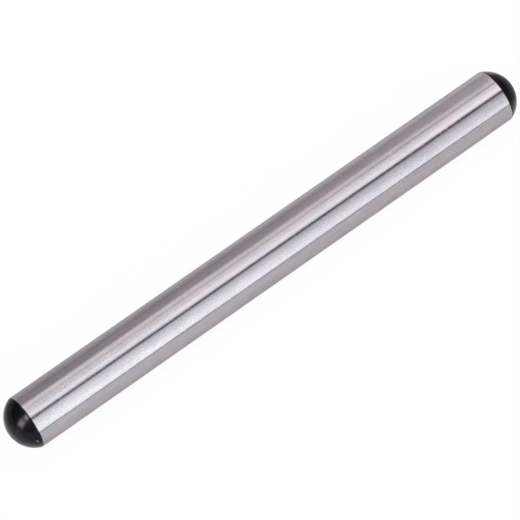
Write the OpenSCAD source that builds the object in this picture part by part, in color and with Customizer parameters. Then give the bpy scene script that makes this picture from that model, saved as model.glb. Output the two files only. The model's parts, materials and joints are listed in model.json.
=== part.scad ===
// Clutch push rod: one piece of hardened steel, with a ground shank and a domed nose at each end.
// Millimetres. The rod lies along X, and the origin is the middle of its axis.

/* [Shank] */
// Ground diameter of the shank
rod_d = 8; // [6:0.5:12]
// Length over both noses
overall_l = 87.7; // [30:0.1:200]

/* [Nose] */
// Height of each dome above the ring where it meets the shank
nose_h = 2.8; // [1:0.1:2.9]
// How far the edge at the ring is broken, both along the shank and along the dome
edge_break = 0.15; // [0.05:0.05:0.4]

/* [Colour] */
// Ground steel of the shank
steel_colour = [0.72, 0.7, 0.73];
// Black scale that the heat treatment leaves on the noses
scale_colour = [0.07, 0.075, 0.08];

/* [Hidden] */

// Facets round the rod, and round each circle of its profile
$fn = 128;

rod_r = rod_d / 2;
tip_z = overall_l / 2;
ring_z = tip_z - nose_h;

// The dome is part of a sphere that passes through the tip and the ring.
nose_sr = (rod_r * rod_r + nose_h * nose_h) / (2 * nose_h);
sphere_z = tip_z - nose_sr;

// The edge break is a straight cut from a point on the shank to a point on the dome.
break_angle = asin(rod_r / nose_sr) - edge_break / nose_sr * 180 / PI;
break_on_shank = [rod_r, ring_z - edge_break];
break_on_dome = [nose_sr * sin(break_angle), sphere_z + nose_sr * cos(break_angle)];

// Tools reach this far past the metal that they cut.
overcut = 0.5;

// One half of the rod's profile, with X across the rod and Y along its axis.
module half_profile() {
    difference() {
        union() {
            square([rod_r, ring_z]);
            dome_profile();
        }
        edge_tool();
    }
}

module dome_profile() {
    intersection() {
        translate([0, sphere_z]) circle(r = nose_sr);
        translate([0, ring_z]) square([rod_r, nose_h + overcut]);
    }
}

// The metal outside the line of the edge break, which runs on past both of its points.
module edge_tool() {
    run_on = (break_on_dome - break_on_shank) * overcut / edge_break;
    below = break_on_shank - run_on;
    above = break_on_dome + run_on;
    polygon([below, above, [below[0], above[1]]]);
}

// The whole rod, upright.
module turned_form() {
    rotate_extrude() {
        half_profile();
        mirror([0, 1]) half_profile();
    }
}

// The length between the two rings, which is ground bright after the heat treatment.
module ground_length() {
    cylinder(h = 2 * ring_z, r = rod_r + overcut, center = true);
}

module push_rod() {
    rotate([0, 90, 0]) {
        color(steel_colour)
            intersection() {
                turned_form();
                ground_length();
            }
        color(scale_colour)
            difference() {
                turned_form();
                ground_length();
            }
    }
}

push_rod();
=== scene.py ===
"""Clutch push rod: a ground steel shank between two domed noses that keep their black scale.

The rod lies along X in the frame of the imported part, in metres, with its middle at the origin.
"""

import json
import logging
import math
from dataclasses import dataclass, field
from enum import Enum
from typing import Any

import bpy
import numpy as np
from mathutils import Matrix, Vector


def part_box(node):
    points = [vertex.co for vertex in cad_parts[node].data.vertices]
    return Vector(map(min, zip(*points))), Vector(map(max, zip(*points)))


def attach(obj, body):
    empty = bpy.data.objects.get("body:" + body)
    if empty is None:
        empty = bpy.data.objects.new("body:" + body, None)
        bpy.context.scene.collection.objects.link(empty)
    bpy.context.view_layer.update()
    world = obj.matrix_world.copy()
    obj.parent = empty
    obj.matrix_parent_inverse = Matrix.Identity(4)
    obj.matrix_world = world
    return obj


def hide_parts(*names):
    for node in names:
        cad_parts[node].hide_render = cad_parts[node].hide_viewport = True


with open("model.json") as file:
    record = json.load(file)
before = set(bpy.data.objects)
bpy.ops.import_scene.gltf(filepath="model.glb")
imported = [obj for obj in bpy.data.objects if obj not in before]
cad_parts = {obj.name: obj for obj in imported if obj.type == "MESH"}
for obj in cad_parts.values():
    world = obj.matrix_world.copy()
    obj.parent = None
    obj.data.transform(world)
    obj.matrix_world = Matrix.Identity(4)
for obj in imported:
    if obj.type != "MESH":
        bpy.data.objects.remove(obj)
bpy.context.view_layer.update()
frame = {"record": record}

MM = 0.001
MICRON = 0.000001
LOG = logging.getLogger("push_rod")
# The mesh attribute that holds how much darker, below 0, or brighter, above 0, a dent makes each point.
DENT_TONE = "wear"
# How many closer steps the mesh has across a dent, and how far from the dent's middle they go,
# in radii of the widest one.
CLOSE_STEPS = 9
CLOSE_REACH = 1.5

# A node's socket, and a colour in linear red, green and blue.
Socket = bpy.types.NodeSocket
Colour = tuple[float, float, float]
WHITE: Colour = (1.0, 1.0, 1.0)

# The kinds of ray that see the floor: straight from the camera, off a surface, through one.
RAYS = ("Camera", "Glossy", "Transmission")


class Slot(Enum):
    """The record's two finishes, in the order of the rod's own material slots."""

    GROUND_STEEL = "ground_steel"
    BLACK_SCALE = "black_scale"


# ---------------------------------------------------------------------------------------------
# Shader maths
# ---------------------------------------------------------------------------------------------


class Number:
    """A number that a shader works out, which takes part in Python sums as a plain number does."""

    def __init__(self, tree: "Tree", socket: Socket) -> None:
        """Wraps one output socket of a tree."""
        self.tree = tree
        self.socket = socket

    def __add__(self, other: "Number | float") -> "Number":
        """Returns self + other."""
        return self.tree.maths("ADD", self, other)

    def __radd__(self, other: float) -> "Number":
        """Returns other + self."""
        return self.tree.maths("ADD", other, self)

    def __sub__(self, other: "Number | float") -> "Number":
        """Returns self - other."""
        return self.tree.maths("SUBTRACT", self, other)

    def __rsub__(self, other: float) -> "Number":
        """Returns other - self."""
        return self.tree.maths("SUBTRACT", other, self)

    def __mul__(self, other: "Number | float") -> "Number":
        """Returns self * other."""
        return self.tree.maths("MULTIPLY", self, other)

    def __rmul__(self, other: float) -> "Number":
        """Returns other * self."""
        return self.tree.maths("MULTIPLY", other, self)

    def __abs__(self) -> "Number":
        """Returns the size of self without its sign."""
        return self.tree.maths("ABSOLUTE", self)


class Tree:
    """A node tree that is written as expressions."""

    def __init__(self, nodes: bpy.types.NodeTree) -> None:
        """Empties the tree that it is given.

        Args:
            nodes: The node tree of a material or of the world.
        """
        self.nodes = nodes
        nodes.nodes.clear()

    def node(self, kind: str, settings: dict[str, Any], inputs: dict[str | int, Any]) -> bpy.types.Node:
        """Adds a node.

        Args:
            kind: The node's type, such as ShaderNodeMath.
            settings: Its own settings, which are set before its sockets. The setting "stops" is a
                colour ramp's list of (place, colour) pairs.
            inputs: What each input socket holds, by name or number: a Number, another node's
                output socket, or a plain value.

        Returns:
            The new node.
        """
        made = self.nodes.nodes.new(kind)
        for name, value in settings.items():
            if name == "stops":
                self.set_stops(made.color_ramp, value)
            else:
                setattr(made, name, value)
        for name, value in inputs.items():
            if isinstance(value, Number):
                value = value.socket
            if isinstance(value, Socket):
                self.nodes.links.new(value, made.inputs[name])
            else:
                made.inputs[name].default_value = value
        return made

    @staticmethod
    def set_stops(ramp: bpy.types.ColorRamp, stops: list[tuple[float, Colour]]) -> None:
        """Gives a colour ramp its stops.

        Args:
            ramp: The ramp, which starts with two stops of its own.
            stops: The place from 0 to 1 and the colour of each stop, in order.
        """
        while len(ramp.elements) < len(stops):
            ramp.elements.new(1.0)
        for element, (place, colour) in zip(ramp.elements, stops, strict=True):
            element.position = place
            element.color = (*colour, 1.0)

    def maths(self, operation: str, *terms: Number | float) -> Number:
        """Adds a Math node and returns its result."""
        made = self.node("ShaderNodeMath", {"operation": operation}, dict(enumerate(terms)))
        return Number(self, made.outputs[0])

    def vector(self, x: Number, y: Number, z: Number) -> Socket:
        """Joins three numbers into a vector and returns its socket."""
        return self.node("ShaderNodeCombineXYZ", {}, {"X": x, "Y": y, "Z": z}).outputs[0]

    def stretch(self, place: Socket, along: float, across: float) -> Socket:
        """Scales a place.

        Args:
            place: The socket of the place.
            along: What its X is multiplied by.
            across: What its Y and Z are multiplied by.

        Returns:
            The scaled place's socket.
        """
        scales = (along, across, across)
        made = self.node("ShaderNodeVectorMath", {"operation": "MULTIPLY"}, {0: place, 1: scales})
        return made.outputs[0]

    def parts(self, vector: Socket) -> tuple[Number, Number, Number]:
        """Splits a vector into its three numbers."""
        made = self.node("ShaderNodeSeparateXYZ", {}, {0: vector})
        return tuple(Number(self, socket) for socket in made.outputs)

    def step(self, value: Number, start: float, end: float) -> Number:
        """A smooth step.

        Args:
            value: What the step depends on.
            start: The value at which the step is still 0.
            end: The value at which it has reached 1. It may be below start.

        Returns:
            A number from 0 to 1.
        """
        low, high = min(start, end), max(start, end)
        made = self.node(
            "ShaderNodeMapRange",
            {"interpolation_type": "SMOOTHSTEP"},
            {"Value": value, "From Min": low, "From Max": high, "To Min": 0.0, "To Max": 1.0},
        )
        risen = Number(self, made.outputs[0])
        return risen if start < end else 1.0 - risen

    def noise(self, at: Socket, scale: float, detail: float) -> Number:
        """Smooth noise.

        Args:
            at: Where it is read.
            scale: How many bumps it has in each unit of that place.
            detail: How many octaves finer noise it adds, each half as strong as the one before.

        Returns:
            A number that varies round 0.5.
        """
        made = self.node(
            "ShaderNodeTexNoise",
            {"noise_dimensions": "3D"},
            {"Vector": at, "Scale": scale, "Detail": detail, "Roughness": 0.5},
        )
        return Number(self, made.outputs["Fac"])

    def attribute(self, name: str) -> Number:
        """Reads a number that the piece's own mesh holds at each of its points."""
        made = self.node("ShaderNodeAttribute", {"attribute_name": name}, {})
        return Number(self, made.outputs["Fac"])

    def mix_colour(self, factor: Number, first: Colour | Socket, second: Colour | Socket) -> Socket:
        """Mixes two colours.

        Args:
            factor: 0 for the first colour and 1 for the second.
            first: A colour, or the socket of one.
            second: A colour, or the socket of one.

        Returns:
            The mixed colour's socket.
        """
        ends = [(*c, 1.0) if isinstance(c, tuple) else c for c in (first, second)]
        made = self.node(
            "ShaderNodeMix",
            {"data_type": "RGBA", "clamp_factor": True},
            {"Factor": factor, 6: ends[0], 7: ends[1]},
        )
        return made.outputs[2]

    def scale_colour(self, colour: Colour | Socket, level: Number) -> Socket:
        """Scales a colour, or the socket of one, by a number and returns the result's socket."""
        made = self.node("ShaderNodeVectorMath", {"operation": "SCALE"}, {0: colour, "Scale": level})
        return made.outputs[0]


# ---------------------------------------------------------------------------------------------
# Finishes
# ---------------------------------------------------------------------------------------------


@dataclass(frozen=True)
class Mark:
    """One kind of mark in the steel: smooth noise, drawn out along the rod or round it.

    Attributes:
        size: Size of one mark, where it isn't drawn out.
        detail: How many octaves finer noise it adds.
        along: What the place's X is multiplied by before the noise is read. Below 1 draws a mark
            out along X.
        across: The same for Y and Z.
        height: How much higher the steel stands where the noise is 1 higher.
        tone: How much brighter it is there.
        roughness: How much rougher it is there.
    """

    size: float
    detail: float
    along: float = 1.0
    across: float = 1.0
    height: float = 0.0
    tone: float = 0.0
    roughness: float = 0.0

    def read(self, tree: Tree, place: Socket) -> Number:
        """Gives the noise at a place, which varies round 0."""
        at = tree.stretch(place, self.along, self.across)
        return tree.noise(at, 1 / self.size, self.detail) - 0.5


@dataclass(frozen=True)
class Dots:
    """One kind of small dots in the steel: the parts where a noise goes past a threshold.

    Attributes:
        edge: The noise at which a dot starts, and at which it is full.
        share: How strong the dots are where nothing is frosted, beside those in the frosting.
        tone: How much brighter the steel is in a dot.
        roughness: How much rougher it is there.
    """

    edge: tuple[float, float]
    share: float
    tone: float
    roughness: float = 0.0

    def read(self, tree: Tree, noise: Number, frost: Number) -> Number:
        """Gives how much of a dot is at a place, from the noise and the frosting there."""
        return tree.step(noise, *self.edge) * (frost * (1 - self.share) + self.share)


@dataclass(frozen=True)
class GroundSteel:
    """Steel ground between centres, frosted here and there, with faint marks along it.

    Attributes:
        ring: Distance from the middle to the ring where the steel ends, with a painted highlight along it.
        cool_colour: The steel where it is a little greener.
        warm_colour: The steel where it is a little redder.
        warm_clouds: The cloud noise at which the steel is cool, and at which it is warm.
        edge_highlight_colour: The lighter steel colour painted at its ring as a highlight.
        edge_highlight_width: How far that painted highlight reaches from the ring.
        grazing_tint: What its reflection fades to where it is seen from low down.
        roughness: Of the steel between its marks.
        grain: The pits of its grain.
        strokes: The wheel's strokes round the rod.
        streaks: The marks along the rod.
        clouds: Soft clouds, which also shift the frosting and the colour.
        waves: A slow unevenness.
        dot_size: Size of the noise that the dots are cut from.
        bright_dots: The burnished dots.
        dark_dots: The dirty dots.
        patch_size: Size of the patches where grain and dark dots are stronger.
        patch_edge: The patch noise at which they are weakest, and at which they are strongest.
        patch_range: How strong they are at their weakest and at their strongest.
        frost_ends: Distances from the middle where the frosting starts and where it is full.
        frost_shift: How far a cloud noise that is 1 higher moves both inwards.
        frost_height: How much the frosting adds to the grain's height.
        dent_gain: How much brighter the steel is where the dent tone is 1; below 0 it is darker.
    """

    ring: float
    cool_colour: Colour = (0.455, 0.437, 0.470)
    warm_colour: Colour = (0.468, 0.434, 0.468)
    warm_clouds: tuple[float, float] = (-0.12, 0.12)
    # A painted highlight: lighter steel colour close to the ring, and how far it reaches.
    edge_highlight_colour: Colour = (0.57, 0.55, 0.58)
    edge_highlight_width: float = 0.12 * MM
    grazing_tint: Colour = (0.75, 0.73, 0.75)
    roughness: float = 0.11
    grain: Mark = Mark(size=0.25 * MM, detail=2.0, across=0.9, height=4.6 * MICRON, tone=0.22)
    strokes: Mark = Mark(
        size=0.17 * MM,
        detail=1.0,
        across=0.15,
        height=0.8 * MICRON,
        tone=0.10,
        roughness=0.08,
    )
    streaks: Mark = Mark(size=0.45 * MM, detail=3.0, along=0.03, height=3.2 * MICRON, tone=0.22)
    clouds: Mark = Mark(size=1.6 * MM, detail=2.0, along=0.5, tone=0.20, roughness=0.04)
    waves: Mark = Mark(size=3.0 * MM, detail=1.0, across=0.3, height=10.0 * MICRON)
    dot_size: float = 0.24 * MM
    bright_dots: Dots = Dots(edge=(0.66, 0.80), share=0.4, tone=0.16, roughness=0.04)
    dark_dots: Dots = Dots(edge=(0.34, 0.20), share=0.6, tone=-0.17)
    patch_size: float = 7.0 * MM
    patch_edge: tuple[float, float] = (0.40, 0.62)
    patch_range: tuple[float, float] = (0.4, 1.2)
    frost_ends: tuple[float, float] = (12.0 * MM, 34.0 * MM)
    frost_shift: float = 30.0 * MM
    frost_height: float = 1.0 * MICRON
    dent_gain: float = 0.5

    def material(self) -> bpy.types.Material:
        """Builds the finish.

        The height is the sum of the marks' noises, each times its own height. The tone is 1 plus
        the same sum with the marks' tones and the dots, and it scales the colour.

        Returns:
            A metal whose colour, roughness and bump follow its marks.
        """
        made = bpy.data.materials.new(Slot.GROUND_STEEL.value)
        made.use_nodes = True
        tree = Tree(made.node_tree)
        place = tree.node("ShaderNodeTexCoord", {}, {}).outputs["Object"]
        x, y, z = tree.parts(place)

        grain = self.grain.read(tree, place)
        strokes = self.strokes.read(tree, place)
        streaks = self.streaks.read(tree, place)
        clouds = self.clouds.read(tree, place)
        waves = self.waves.read(tree, place)
        frost = tree.step(abs(x) + clouds * self.frost_shift, *self.frost_ends)
        weakest, strongest = self.patch_range
        patches = tree.step(tree.noise(place, 1 / self.patch_size, 1.0), *self.patch_edge)
        patches = patches * (strongest - weakest) + weakest
        spots = tree.noise(tree.vector(y, z, x), 1 / self.dot_size, 0.0)
        bright = self.bright_dots.read(tree, spots, frost)
        dark = self.dark_dots.read(tree, spots, frost) * patches

        height = grain * (frost * self.frost_height + self.grain.height) + strokes * self.strokes.height
        height = height + streaks * self.streaks.height + waves * self.waves.height
        bump = tree.node("ShaderNodeBump", {}, {"Height": height, "Distance": 1.0, "Strength": 1.0})

        tone = grain * self.grain.tone * patches + strokes * self.strokes.tone
        tone = tone + streaks * self.streaks.tone + clouds * self.clouds.tone
        tone = tone + bright * self.bright_dots.tone + dark * self.dark_dots.tone
        # Darker or brighter in the dents, by the mesh's dent tone.
        tone = tone + tree.attribute(DENT_TONE) * self.dent_gain + 1.0
        hue = tree.mix_colour(tree.step(clouds, *self.warm_clouds), self.cool_colour, self.warm_colour)
        # Painted highlight: the colour turns to the lighter edge colour close to the ring.
        edge = tree.step(abs(x), self.ring - self.edge_highlight_width, self.ring)

        rough = strokes * self.strokes.roughness + clouds * self.clouds.roughness
        rough = rough + bright * self.bright_dots.roughness + self.roughness
        surface = tree.node(
            "ShaderNodeBsdfPrincipled",
            {},
            {
                "Base Color": tree.mix_colour(edge, tree.scale_colour(hue, tone), self.edge_highlight_colour),
                "Metallic": 1.0,
                "Specular Tint": (*self.grazing_tint, 1.0),
                "Roughness": rough,
                "Normal": bump.outputs[0],
            },
        )
        tree.node("ShaderNodeOutputMaterial", {}, {"Surface": surface.outputs[0]})
        return made


@dataclass(frozen=True)
class BlackScale:
    """The black iron scale that the heat treatment leaves on a nose, over its turning marks.

    Attributes:
        colour: The scale, which mirrors a little as a dark metal does.
        bare_colour: The steel under it, where a chip is gone.
        roughness: Of the crests of the turning marks.
        mark_roughness: How much rougher the bottoms of the marks are.
        mark_pitch: Distance from one turning mark to the next.
        mark_height: How high the crests stand.
        mark_shine: How much more the crests mirror than the bottoms, as a share of the colour.
        mark_drift: How many radians of its wave a noise that is 1 higher shifts a mark.
        drift_across: What the place's Y and Z are multiplied by before that noise is read.
        grain_size: Size of the scale's grain.
        grain_height: How much higher the scale stands where the grain's noise is 1 higher.
        grain_shine: How much more it mirrors there, as a share of the colour.
        grain_roughness: How much rougher it is there.
    """

    colour: Colour = (0.0305, 0.0278, 0.0345)
    bare_colour: Colour = (0.42, 0.41, 0.44)
    roughness: float = 0.17
    mark_roughness: float = 0.05
    mark_pitch: float = 0.30 * MM
    mark_height: float = 0.8 * MICRON
    mark_shine: float = 0.5
    mark_drift: float = 8.0
    drift_across: float = 0.2
    grain_size: float = 0.20 * MM
    grain_height: float = 0.8 * MICRON
    grain_shine: float = 1.3
    grain_roughness: float = 0.1

    def material(self) -> bpy.types.Material:
        """Builds the finish.

        The turning marks are a sine wave along the axis, whose phase a slow noise shifts.

        Returns:
            A black satin surface with rings round the rod's axis.
        """
        made = bpy.data.materials.new(Slot.BLACK_SCALE.value)
        made.use_nodes = True
        tree = Tree(made.node_tree)
        place = tree.node("ShaderNodeTexCoord", {}, {}).outputs["Object"]
        x, _, _ = tree.parts(place)

        slow = tree.stretch(place, 1.0, self.drift_across)
        drift = tree.noise(slow, 1 / self.mark_pitch, 1.0) * self.mark_drift
        marks = tree.maths("SINE", x * (2 * math.pi / self.mark_pitch) + drift) * 0.5
        grain = tree.noise(place, 1 / self.grain_size, 2.0) - 0.5
        height = marks * self.mark_height + grain * self.grain_height
        bump = tree.node("ShaderNodeBump", {}, {"Height": height, "Distance": 1.0, "Strength": 1.0})
        scale = tree.scale_colour(self.colour, marks * self.mark_shine + grain * self.grain_shine + 1.0)
        surface = tree.node(
            "ShaderNodeBsdfPrincipled",
            {},
            {
                "Base Color": tree.mix_colour(tree.attribute(DENT_TONE), scale, self.bare_colour),
                "Metallic": 1.0,
                "Roughness": grain * self.grain_roughness - marks * self.mark_roughness + self.roughness,
                "Normal": bump.outputs[0],
            },
        )
        tree.node("ShaderNodeOutputMaterial", {}, {"Surface": surface.outputs[0]})
        return made


# ---------------------------------------------------------------------------------------------
# The rod
# ---------------------------------------------------------------------------------------------


@dataclass(frozen=True)
class Nick:
    """A small round dent in the rod's surface.

    Attributes:
        along: Its place along X.
        around: Its angle round X in degrees, from +Y towards +Z.
        width: Its radius.
        depth: How deep it is.
        tone: Below 0 where the dent is darker, and above 0 where it is brighter, which bares the steel on
            a nose.
    """

    along: float
    around: float
    width: float
    depth: float
    tone: float

    def shape(self, along: np.ndarray, angle: np.ndarray, radius: np.ndarray) -> np.ndarray:
        """How much of the dent is at each point.

        The distance from its middle, measured on the surface in widths and raised to the fourth
        power, is the exponent of a falling exponential, so the floor is flat and the rim soft.

        Args:
            along: The points' places along X.
            angle: Their angles round X in radians.
            radius: Their distances from the axis.

        Returns:
            1 at the middle, falling to 0.
        """
        turned = np.mod(angle - math.radians(self.around) + math.pi, 2 * math.pi) - math.pi
        away = np.hypot(along - self.along, turned * radius) / self.width
        return np.exp(-(away**4))


def with_fine_steps(steps: np.ndarray, centres: list[float], reach: float) -> np.ndarray:
    """Adds closer steps round some places, for the mesh to follow a dent there.

    Args:
        steps: The plain steps, rising.
        centres: The dents' middles.
        reach: How far from a middle the closer steps go.

    Returns:
        All the steps, rising, without any that lie closer together than half of a closer step.
    """
    close = [np.linspace(centre - reach, centre + reach, CLOSE_STEPS) for centre in centres]
    every = np.sort(np.concatenate([steps, *close]))
    apart = np.diff(every, prepend=-np.inf) > reach / CLOSE_STEPS
    return every[apart]


@dataclass
class PushRod:
    """The whole rod: one surface of revolution about X, with small dents in it.

    Attributes:
        radius: Of the shank.
        tip: Distance from the middle to the tip of a nose.
        full: Distance from the middle to where the full radius ends.
        edge_break: How far the rounded edge reaches from there along X.
        scale_lap: How far the scale reaches back over it.
        nicks: The dents. One beyond the ring is a chip in the scale.
        around: How many steps the mesh has round the rod, apart from those at its dents.
        dome_rings: How many rings it has on a dome.
        break_rings: How many it has on each finish of a rounded edge.
        shank_rings: How many it has on the shank, apart from those at its dents.
        name: The piece's name.
        made: The piece, once it is built.
    """

    radius: float
    tip: float
    full: float
    edge_break: float = 0.15 * MM
    scale_lap: float = 0.045 * MM
    nicks: tuple[Nick, ...] = (
        Nick(along=-34.7 * MM, around=98.0, width=0.10 * MM, depth=12 * MICRON, tone=-0.8),
        Nick(along=-29.4 * MM, around=113.0, width=0.08 * MM, depth=8 * MICRON, tone=-0.6),
        Nick(along=37.5 * MM, around=115.0, width=0.09 * MM, depth=10 * MICRON, tone=-0.6),
        Nick(along=-3.1 * MM, around=177.0, width=0.09 * MM, depth=8 * MICRON, tone=-0.5),
        Nick(along=0.6 * MM, around=140.0, width=0.07 * MM, depth=6 * MICRON, tone=-0.5),
        Nick(along=-36.8 * MM, around=124.0, width=0.08 * MM, depth=3 * MICRON, tone=0.5),
        Nick(along=-35.7 * MM, around=119.0, width=0.08 * MM, depth=3 * MICRON, tone=0.5),
        Nick(along=-4.4 * MM, around=138.0, width=0.07 * MM, depth=3 * MICRON, tone=0.4),
        Nick(along=-5.0 * MM, around=120.0, width=0.07 * MM, depth=3 * MICRON, tone=0.4),
        Nick(along=-41.7 * MM, around=165.0, width=0.13 * MM, depth=5 * MICRON, tone=1.0),
    )
    around: int = 160
    dome_rings: int = 48
    break_rings: int = 6
    shank_rings: int = 100
    name: str = "push_rod_turned"
    made: bpy.types.Object | None = field(default=None, init=False)

    @property
    def ring(self) -> float:
        """Distance from the middle to the ring where the dome starts."""
        return self.full + self.edge_break

    @property
    def dent_reach(self) -> float:
        """How far from a dent's middle the mesh has closer steps."""
        return CLOSE_REACH * max(nick.width for nick in self.nicks)

    @property
    def steel_end(self) -> float:
        """Distance from the middle to the ring where steel and scale meet."""
        return self.ring - self.scale_lap

    def outline(self) -> tuple[np.ndarray, np.ndarray]:
        """The rod's outline from one tip to the other.

        The dome is a circle round the axis point at sphere_x that passes through the tip and the
        ring. The rounding is a circle inside it that touches both the dome and the shank, so both
        are given by the angle between the surface's normal and the axis: centre plus radius times
        the angle's cosine along the axis, and its sine across. The shank is straight, with closer
        rings at its dents. One ring of the mesh lies where steel and scale meet.

        Returns:
            The place along X and the radius of each ring of the mesh, from -X to +X.
        """
        height = self.tip - self.ring
        dome = (self.radius**2 + height**2) / (2 * height)
        sphere_x = self.tip - dome
        reach = self.full - sphere_x
        small = (dome**2 - self.radius**2 - reach**2) / (2 * (dome - self.radius))
        touch = math.atan2(self.radius - small, reach)
        meet = math.acos((self.steel_end - self.full) / small)

        on_dome = np.linspace(0.0, touch, self.dome_rings, endpoint=False)
        scaled = np.linspace(touch, meet, self.break_rings, endpoint=False)
        bare = np.linspace(meet, math.pi / 2, self.break_rings, endpoint=False)
        on_break = np.concatenate([scaled, bare])
        x = np.concatenate([sphere_x + dome * np.cos(on_dome), self.full + small * np.cos(on_break)])
        r = np.concatenate([dome * np.sin(on_dome), self.radius - small + small * np.sin(on_break)])

        dents = [nick.along for nick in self.nicks if abs(nick.along) < self.full]
        shank = np.linspace(-self.full, self.full, self.shank_rings)
        shank = with_fine_steps(shank, dents, self.dent_reach)
        level = np.full(shank.shape, self.radius)
        return np.concatenate([-x, shank, x[::-1]]), np.concatenate([r, level, r[::-1]])

    def surface(self) -> tuple[np.ndarray, list[np.ndarray], np.ndarray]:
        """Turns the outline about X, with X and the angle round it as the two parameters.

        A point's distance from the axis is the outline's radius less, for each dent, its depth
        times its shape there. Y is that distance times the angle's cosine, and Z times its sine.

        Returns:
            The vertices, as rows of x, y and z, from the -X tip to the +X tip; the faces, which
            point outwards, as rows of vertex numbers, first those of four corners and then the
            three-cornered ones round each tip; and the dent tone at each vertex, which is the sum
            of the dents' tones, each times its shape there.
        """
        x, r = self.outline()
        turn = np.linspace(0.0, 2 * math.pi, self.around, endpoint=False)
        dents = [math.radians(nick.around) for nick in self.nicks]
        turn = with_fine_steps(turn, dents, self.dent_reach / self.radius)
        along, angle = np.meshgrid(x[1:-1], turn, indexing="ij")
        level = np.repeat(r[1:-1, None], turn.size, axis=1)
        across = level.copy()
        wear = np.zeros_like(level)
        for nick in self.nicks:
            shape = nick.shape(along, angle, level)
            across -= nick.depth * shape
            wear += nick.tone * shape
        rings = np.stack([along, across * np.cos(angle), across * np.sin(angle)], axis=-1)
        vertices = np.concatenate([[[x[0], 0.0, 0.0]], rings.reshape(-1, 3), [[x[-1], 0.0, 0.0]]])

        number = 1 + np.arange(along.size).reshape(along.shape)
        after = np.roll(number, -1, axis=1)
        quads = np.stack([number[:-1], after[:-1], after[1:], number[1:]], axis=-1)
        low_tip = np.stack([np.zeros_like(number[0]), after[0], number[0]], axis=-1)
        high_tip = np.stack([np.full_like(number[0], len(vertices) - 1), number[-1], after[-1]], axis=-1)
        faces = [quads.reshape(-1, 4), low_tip, high_tip]
        return vertices, faces, np.concatenate([[0.0], wear.ravel(), [0.0]])

    def build(self) -> bpy.types.Object:
        """Makes the mesh and puts it in the frame.

        Returns:
            The rod, which stands for its CAD node.
        """
        vertices, faces, wear = self.surface()
        mesh = bpy.data.meshes.new(self.name)
        mesh.from_pydata(vertices.tolist(), [], [row for part in faces for row in part.tolist()])
        mesh.attributes.new(DENT_TONE, "FLOAT", "POINT").data.foreach_set("value", wear)
        centres = np.empty(len(mesh.polygons) * 3)
        mesh.polygons.foreach_get("center", centres)
        on_nose = (np.abs(centres.reshape(-1, 3)[:, 0]) > self.steel_end).astype(np.int32)
        mesh.polygons.foreach_set("material_index", on_nose)
        mesh.polygons.foreach_set("use_smooth", np.ones(len(mesh.polygons), dtype=bool))
        mesh.update()
        self.made = bpy.data.objects.new(self.name, mesh)
        bpy.context.collection.objects.link(self.made)
        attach(self.made, "root")
        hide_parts("push_rod")
        return self.made

    def dress(self, steel: GroundSteel, scale: BlackScale) -> None:
        """Gives the shank and the noses their finishes."""
        for finish in (steel, scale):
            self.made.data.materials.append(finish.material())


# ---------------------------------------------------------------------------------------------
# The studio
# ---------------------------------------------------------------------------------------------


@dataclass(frozen=True)
class Shade:
    """A stretch of the walls that is lighter or darker than the rest.

    Attributes:
        gain: How much of the walls' own light it adds, or takes where it is below 0.
        edges: Its edges, each as the angle at which it starts and the angle at which it is full,
            in degrees round the rod's axis from straight up towards -Y.
        near: The parts along X between which it comes in, or nothing where it has no end.
    """

    gain: float
    edges: tuple[tuple[float, float], ...]
    near: tuple[float, float] | None = None

    def gain_at(self, tree: Tree, x: Number, angle: Number) -> Number:
        """Works out what it adds in a direction: the product of its edges, times its gain.

        Args:
            tree: The world's node tree.
            x: The direction's part along X.
            angle: Its angle round the rod's axis in degrees.

        Returns:
            What is added to the walls' level of 1.
        """
        shape = tree.step(x, *self.near) if self.near else 1.0
        for edge in self.edges:
            shape = tree.step(angle, *edge) * shape
        return shape * self.gain


@dataclass(frozen=True)
class Glow:
    """The light that a panel gives.

    Attributes:
        first: Its tint at the panel's start.
        last: Its tint at the panel's end.
        levels: How strong it is from the panel's start to its end, at equal steps.
    """

    first: Colour
    last: Colour
    levels: tuple[float, ...]

    def across(self, tree: Tree, share: Number) -> Socket:
        """Gives the light across the panel, as a ramp of the tints times the levels.

        Args:
            tree: The world's node tree.
            share: The share of the way from the panel's start to its end.

        Returns:
            The light's socket.
        """
        shares = np.linspace(0.0, 1.0, len(self.levels))
        tints = [(1 - s) * np.array(self.first) + s * np.array(self.last) for s in shares]
        stops = [(s, tuple(t * level)) for s, t, level in zip(shares, tints, self.levels, strict=True)]
        return tree.node("ShaderNodeValToRGB", {"stops": stops}, {"Fac": share}).outputs[0]


@dataclass(frozen=True)
class SoftBox:
    """A long panel, told by the angles that it spans round the rod's axis.

    Attributes:
        start: Where it starts, in degrees from straight up towards -Y.
        end: Where it ends.
        start_edge: How many degrees its light takes to rise at its start.
        end_edge: How many degrees it takes to fall at its end.
        near: Its light towards -X.
        far: Its light towards +X.
    """

    start: float
    end: float
    start_edge: float
    end_edge: float
    near: Glow
    far: Glow

    def paint(self, tree: Tree, light: Socket, angle: Number, along: Number, ends: Number) -> Socket:
        """Paints the panel over what is behind it.

        Args:
            tree: The world's node tree.
            light: The socket of the light behind the panel.
            angle: The angle round the rod's axis in degrees.
            along: 0 at the panel's -X side and 1 at its +X side.
            ends: 1 between the panel's ends and 0 past them.

        Returns:
            The socket of the light with the panel in it.
        """
        shape = tree.step(angle, self.start, self.start + self.start_edge) * ends
        shape = shape * tree.step(angle, self.end, self.end - self.end_edge)
        share = (angle - self.start) * (1 / (self.end - self.start))
        own = tree.mix_colour(along, self.near.across(tree, share), self.far.across(tree, share))
        return tree.mix_colour(shape, light, own)


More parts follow.
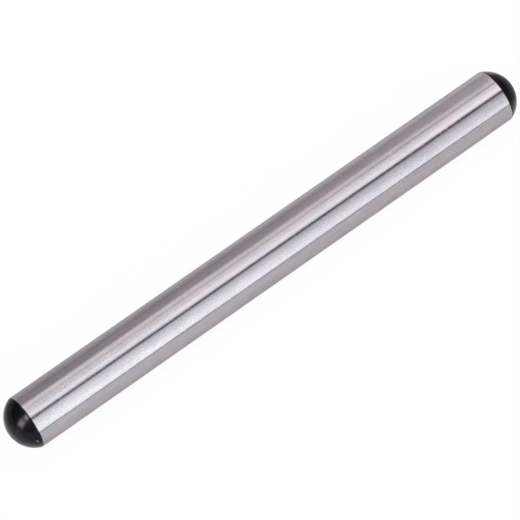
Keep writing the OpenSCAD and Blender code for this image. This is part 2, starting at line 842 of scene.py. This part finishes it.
@dataclass(frozen=True)
class EndPanel:
    """A small panel that faces the rod's -X end, told by parts of a unit direction.

    Attributes:
        low: How far a direction leans upwards at the panel's lower side.
        high: The same at its upper side.
        sideways: How far towards Y the panel's middle lies.
        half_width: Half its width along Y.
        edge: How much of each takes the light from nothing to full.
        light: The colour and strength of its light.
        beyond: How far towards X a direction leans where the panel starts.
    """

    low: float
    high: float
    sideways: float
    half_width: float
    edge: float
    light: Colour
    beyond: float = -0.48

    def paint(self, tree: Tree, light: Socket, x: Number, y: Number, z: Number) -> Socket:
        """Paints the panel over what is behind it.

        Args:
            tree: The world's node tree.
            light: The socket of the light behind the panel.
            x: The direction's part along X.
            y: The same along Y.
            z: The same along Z.

        Returns:
            The socket of the light with the panel in it.
        """
        half = self.edge / 2
        shape = tree.step(x, self.beyond, self.beyond - self.edge)
        shape = shape * tree.step(z, self.low - half, self.low + half)
        shape = shape * tree.step(z, self.high + half, self.high - half)
        across = abs(y - self.sideways)
        shape = shape * tree.step(across, self.half_width + half, self.half_width - half)
        return tree.mix_colour(shape, light, self.light)


@dataclass(frozen=True)
class Paper:
    """The floor's white paper, and where the light on it that metal mirrors fades.

    Each fade is told by where it starts and where it is full.

    Attributes:
        colour: The paper, which takes the rod's shadow.
        cool_colour: The same under a cooler light, in front of the rod and towards -X.
        seen_colour: The same as the eye sees it.
        white_share: How much of what the eye sees is plain white, over the lit paper.
        mirror_share: The same for what metal mirrors.
        back: The fade behind the rod, along Y halfway along the rod.
        back_slant: How much further back that is for each metre towards +X.
        back_tone: What is left where it is full.
        back_ends: Distances from the middle between which that fade weakens.
        back_relief: How much of it is lost past them.
        far_shade: The fade in the rod's shade past its +X end, along X less the distance along Y
            to far_line.
        far_line: Where along Y the middle of that shade lies.
        far_tone: What is left there.
        near_end: Where the light past the -X end starts and is full, along X.
        near_tone: How bright the paper is there, in the rod's line.
        near_sides: The fade to both sides of that, along Y.
        side_tone: What is left there.
        cool_along: Where along X the cool colour starts and is full.
        cool_across: The same along Y.
    """

    colour: Colour = (0.825, 0.806, 0.780)
    cool_colour: Colour = (0.865, 0.903, 0.920)
    seen_colour: Colour = (0.98, 0.98, 0.98)
    white_share: float = 0.94
    mirror_share: float = 0.22
    back: tuple[float, float] = (10.0 * MM, 50.0 * MM)
    back_slant: float = 0.33
    back_tone: float = 0.60
    back_ends: tuple[float, float] = (24.0 * MM, 46.0 * MM)
    back_relief: float = 0.36
    far_shade: tuple[float, float] = (41.5 * MM, 47.5 * MM)
    far_line: float = 1.0 * MM
    far_tone: float = 0.48
    near_end: tuple[float, float] = (-36.0 * MM, -46.0 * MM)
    near_tone: float = 1.12
    near_sides: tuple[float, float] = (1.0 * MM, 14.0 * MM)
    side_tone: float = 0.64
    cool_along: tuple[float, float] = (40.0 * MM, -40.0 * MM)
    cool_across: tuple[float, float] = (-6.0 * MM, -24.0 * MM)

    def mirrored_tone(self, tree: Tree, x: Number, y: Number) -> Number:
        """Works out how bright the paper looks in metal.

        The fade behind the rod, the shade past its +X end and the light past its -X end are smooth
        steps of the place. Each gives a factor, and the tone is the product of the three.

        Args:
            tree: The paper's node tree.
            x: The place on the floor along X.
            y: The same along Y.

        Returns:
            1 near the rod's middle, more past its -X end, and less where a fade is.
        """
        relief = 1.0 - tree.step(abs(x), *self.back_ends) * self.back_relief
        faded = tree.step(y - x * self.back_slant, *self.back) * relief
        shaded = tree.step(x - abs(y - self.far_line), *self.far_shade)
        beside = tree.step(abs(y), *self.near_sides) * (self.near_tone - self.side_tone)
        gain = tree.step(x, *self.near_end) * (self.near_tone - 1.0 - beside)
        return (1.0 - faded * (1 - self.back_tone)) * (1.0 - shaded * (1 - self.far_tone)) * (gain + 1.0)

    def material(self) -> bpy.types.Material:
        """Builds the finish.

        Returns:
            Matt paper, mixed with plain white for the eye and for metal.
        """
        made = bpy.data.materials.new("floor_paper")
        made.use_nodes = True
        tree = Tree(made.node_tree)
        x, y, _ = tree.parts(tree.node("ShaderNodeTexCoord", {}, {}).outputs["Object"])
        rays = tree.node("ShaderNodeLightPath", {}, {})
        seen, glossy, through = (Number(tree, rays.outputs[f"Is {kind} Ray"]) for kind in RAYS)

        tone = self.mirrored_tone(tree, x, y)
        cool = tree.step(x, *self.cool_along) * tree.step(y, *self.cool_across)
        mirrored = tree.scale_colour(tree.mix_colour(cool, self.colour, self.cool_colour), tone)
        bright = tree.mix_colour(seen, mirrored, WHITE)
        glow = tree.node("ShaderNodeEmission", {}, {"Color": bright, "Strength": 1.0})
        plain = tree.mix_colour(seen, mirrored, self.seen_colour)
        matt = tree.node("ShaderNodeBsdfDiffuse", {}, {"Color": plain})
        share = seen * self.white_share + (glossy + through) * self.mirror_share
        both = tree.node("ShaderNodeMixShader", {}, {"Fac": share, 1: matt.outputs[0], 2: glow.outputs[0]})
        tree.node("ShaderNodeOutputMaterial", {}, {"Surface": both.outputs[0]})
        return made


@dataclass
class Studio:
    """A pale floor under a soft sky of panels.

    Attributes:
        floor_height: Where the floor lies.
        floor_size: The length of its sides.
        paper: The floor's finish.
        walls: What lies behind the panels, as stops from -X to +X: the part of a unit direction
            along X, and the light there.
        shades: The stretches of the walls that are lighter or darker.
        boxes: The long panels, each painted over the ones before it.
        end_panels: The panels that face the rod's -X end, painted over those.
        low_end: Where the long panels start at their -X end and are full, as parts along X.
        high_end: The same at their +X end.
        turn_over: The parts along X between which their light turns from near to far.
        horizon_edge: The part along Z below which the sky turns to the floor's white.
    """

    floor_height: float
    floor_size: float = 6.0
    paper: Paper = Paper()
    walls: tuple[tuple[float, Colour], ...] = (
        (-0.35, (0.285, 0.275, 0.295)),
        (0.20, (0.425, 0.38, 0.40)),
        (0.26, (0.455, 0.407, 0.43)),
        (0.305, (0.56, 0.50, 0.525)),
        (0.33, (0.67, 0.60, 0.63)),
        (0.42, (1.05, 0.94, 0.98)),
        (0.55, (0.87, 0.82, 0.85)),
        (0.80, (0.53, 0.505, 0.545)),
        (0.92, (0.22, 0.195, 0.215)),
        (1.00, (0.17, 0.156, 0.172)),
    )
    shades: tuple[Shade, ...] = (
        Shade(gain=0.17, edges=((-85.0, -45.0),)),
        Shade(gain=-0.43, edges=((-25.0, -45.0),), near=(-0.2, -0.4)),
        Shade(gain=0.45, edges=((6.0, 18.0), (52.0, 38.0)), near=(-0.2, -0.4)),
    )
    boxes: tuple[SoftBox, ...] = (
        SoftBox(
            start=13.7,
            end=34.7,
            start_edge=5.8,
            end_edge=5.5,
            near=Glow(first=(1.0, 0.98, 1.26), last=(1.0, 0.98, 1.26), levels=(0.21, 0.21)),
            far=Glow(first=(1.0, 0.84, 1.16), last=(1.0, 0.84, 1.16), levels=(0.135, 0.135)),
        ),
        SoftBox(
            start=-49.5,
            end=-17.9,
            start_edge=14.6,
            end_edge=4.9,
            near=Glow(first=(1.0, 0.95, 0.945), last=(1.0, 0.95, 0.945), levels=(1.55, 1.30, 1.04)),
            far=Glow(first=(1.0, 0.92, 0.92), last=(1.0, 0.92, 0.92), levels=(0.95, 1.14, 0.47)),
        ),
        SoftBox(
            start=-24.5,
            end=20.0,
            start_edge=10.4,
            end_edge=9.5,
            near=Glow(first=(1.0, 0.985, 1.01), last=(1.0, 1.03, 1.08), levels=(1.68, 1.10, 1.62, 1.53)),
            far=Glow(first=(1.0, 0.95, 0.94), last=(1.0, 0.98, 0.99), levels=(1.33, 1.46, 1.72, 1.84)),
        ),
        SoftBox(
            start=22.2,
            end=88.5,
            start_edge=8.8,
            end_edge=5.0,
            near=Glow(first=(1.0, 1.04, 1.08), last=(1.0, 1.045, 1.045), levels=(0.95, 1.51, 1.94, 1.80)),
            far=Glow(first=(1.0, 1.01, 1.06), last=(1.0, 1.025, 1.075), levels=(0.47, 0.98, 1.34, 1.80)),
        ),
        SoftBox(
            start=83.0,
            end=92.5,
            start_edge=4.0,
            end_edge=3.0,
            near=Glow(first=(1.0, 1.02, 1.10), last=(1.0, 1.02, 1.10), levels=(0.62, 0.62)),
            far=Glow(first=(1.0, 1.0, 1.20), last=(1.0, 1.0, 1.20), levels=(0.42, 0.42)),
        ),
    )
    end_panels: tuple[EndPanel, ...] = (
        EndPanel(
            low=0.00,
            high=0.24,
            sideways=-0.07,
            half_width=0.22,
            edge=0.10,
            light=(0.90, 0.885, 0.91),
        ),
        EndPanel(
            low=0.67,
            high=0.87,
            sideways=-0.062,
            half_width=0.142,
            edge=0.17,
            light=(7.0, 7.2, 7.0),
            beyond=-0.34,
        ),
        EndPanel(
            low=0.19,
            high=0.56,
            sideways=-0.04,
            half_width=0.17,
            edge=0.15,
            light=(6.0, 6.1, 6.0),
        ),
    )
    low_end: tuple[float, float] = (-0.50, -0.38)
    high_end: tuple[float, float] = (0.82, 0.62)
    turn_over: tuple[float, float] = (0.20, 0.35)
    horizon_edge: float = 0.01

    def build(self) -> bpy.types.Object:
        """Lays the floor and lights the sky.

        Returns:
            The floor.
        """
        self.light_sky()
        return self.lay_floor()

    def light_sky(self) -> None:
        """Sets the world to walls that change along X, with the panels painted over them.

        A direction is told by its parts along X, Y and Z, and by its angle round X: the angle,
        from straight up, whose tangent is minus Y over Z. Below the horizon the world is the
        floor's white, which carries the floor on past its edge.
        """
        world = bpy.data.worlds.new("soft_sky")
        world.use_nodes = True
        bpy.context.scene.world = world
        tree = Tree(world.node_tree)
        x, y, z = tree.parts(tree.node("ShaderNodeTexCoord", {}, {}).outputs["Generated"])
        angle = tree.maths("ARCTAN2", y * -1.0, z) * math.degrees(1.0)

        stops = [((part + 1) / 2, colour) for part, colour in self.walls]
        walls = tree.node("ShaderNodeValToRGB", {"stops": stops}, {"Fac": (x + 1.0) * 0.5})
        level = 1.0
        for shade in self.shades:
            level = shade.gain_at(tree, x, angle) + level
        light = tree.scale_colour(walls.outputs[0], level)

        ends = tree.step(x, *self.low_end) * tree.step(x, *self.high_end)
        along = tree.step(x, *self.turn_over)
        for box in self.boxes:
            light = box.paint(tree, light, angle, along, ends)

        for panel in self.end_panels:
            light = panel.paint(tree, light, x, y, z)

        light = tree.mix_colour(tree.step(z, self.horizon_edge, 0.0), light, WHITE)
        sky = tree.node("ShaderNodeBackground", {}, {"Color": light, "Strength": 1.0})
        tree.node("ShaderNodeOutputWorld", {}, {"Surface": sky.outputs[0]})

    def lay_floor(self) -> bpy.types.Object:
        """Makes the floor.

        Returns:
            The floor.
        """
        half = self.floor_size / 2
        corners = [(-half, -half), (half, -half), (half, half), (-half, half)]
        mesh = bpy.data.meshes.new("studio_floor")
        mesh.from_pydata([(x, y, self.floor_height) for x, y in corners], [], [(0, 1, 2, 3)])
        mesh.materials.append(self.paper.material())
        floor = bpy.data.objects.new("studio_floor", mesh)
        bpy.context.collection.objects.link(floor)
        return floor


@dataclass(frozen=True)
class Viewpoint:
    """Where the camera stands, as angles round a point that it aims at.

    Attributes:
        azimuth: Degrees round Z. At 0 the camera looks along +Y.
        elevation: Degrees above the floor.
        distance: From the rod's middle, along the line of sight.
        focal_length: Its lens's focal length in millimetres.
        sensor_width: The width of its sensor in millimetres.
        aside: How far the rod's middle lies to the right of the line of sight, and above it.
        clip: The nearest and the furthest distance that it sees.
    """

    azimuth: float = -37.9
    elevation: float = 63.5
    distance: float = 691.0 * MM
    focal_length: float = 346.15
    sensor_width: float = 36.0
    aside: tuple[float, float] = (0.55 * MM, 0.46 * MM)
    clip: tuple[float, float] = (0.01, 20.0)

    def build(self) -> bpy.types.Object:
        """Makes the camera and gives it to the scene.

        Returns:
            The camera.
        """
        turn, lift = math.radians(self.azimuth), math.radians(self.elevation)
        right = Vector((math.cos(turn), math.sin(turn), 0.0))
        back = Vector((math.sin(turn) * math.cos(lift), -math.cos(turn) * math.cos(lift), math.sin(lift)))
        up = back.cross(right)
        data = bpy.data.cameras.new("camera")
        data.lens = self.focal_length
        data.sensor_width = self.sensor_width
        data.clip_start, data.clip_end = self.clip
        camera = bpy.data.objects.new("camera", data)
        place = back * self.distance - right * self.aside[0] - up * self.aside[1]
        turned = Matrix((right, up, back)).transposed().to_4x4()
        camera.matrix_world = Matrix.Translation(place) @ turned
        bpy.context.collection.objects.link(camera)
        bpy.context.scene.camera = camera
        return camera


def rod_from_frame() -> PushRod:
    """Reads the rod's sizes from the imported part.

    Returns:
        The rod, not built yet.
    """
    low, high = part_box("push_rod")
    shank = next(mount for mount in frame["record"]["mounts"] if mount["name"] == "shank")
    full = shank["dims"]["length_mm"] * MM / 2
    return PushRod(radius=(high[2] - low[2]) / 2, tip=(high[0] - low[0]) / 2, full=full)


def main() -> None:
    """Builds the camera, the rod and the studio, in that order."""
    logging.basicConfig(level=logging.INFO, format="%(name)s: %(message)s")
    scene = bpy.context.scene
    scene.view_settings.view_transform = "Standard"
    Viewpoint().build()
    rod = rod_from_frame()
    piece = rod.build()
    rod.dress(GroundSteel(ring=rod.steel_end), BlackScale())
    LOG.info("%s: %d faces", piece.name, len(piece.data.polygons))
    Studio(floor_height=-rod.radius).build()


if __name__ == "__main__":
    main()
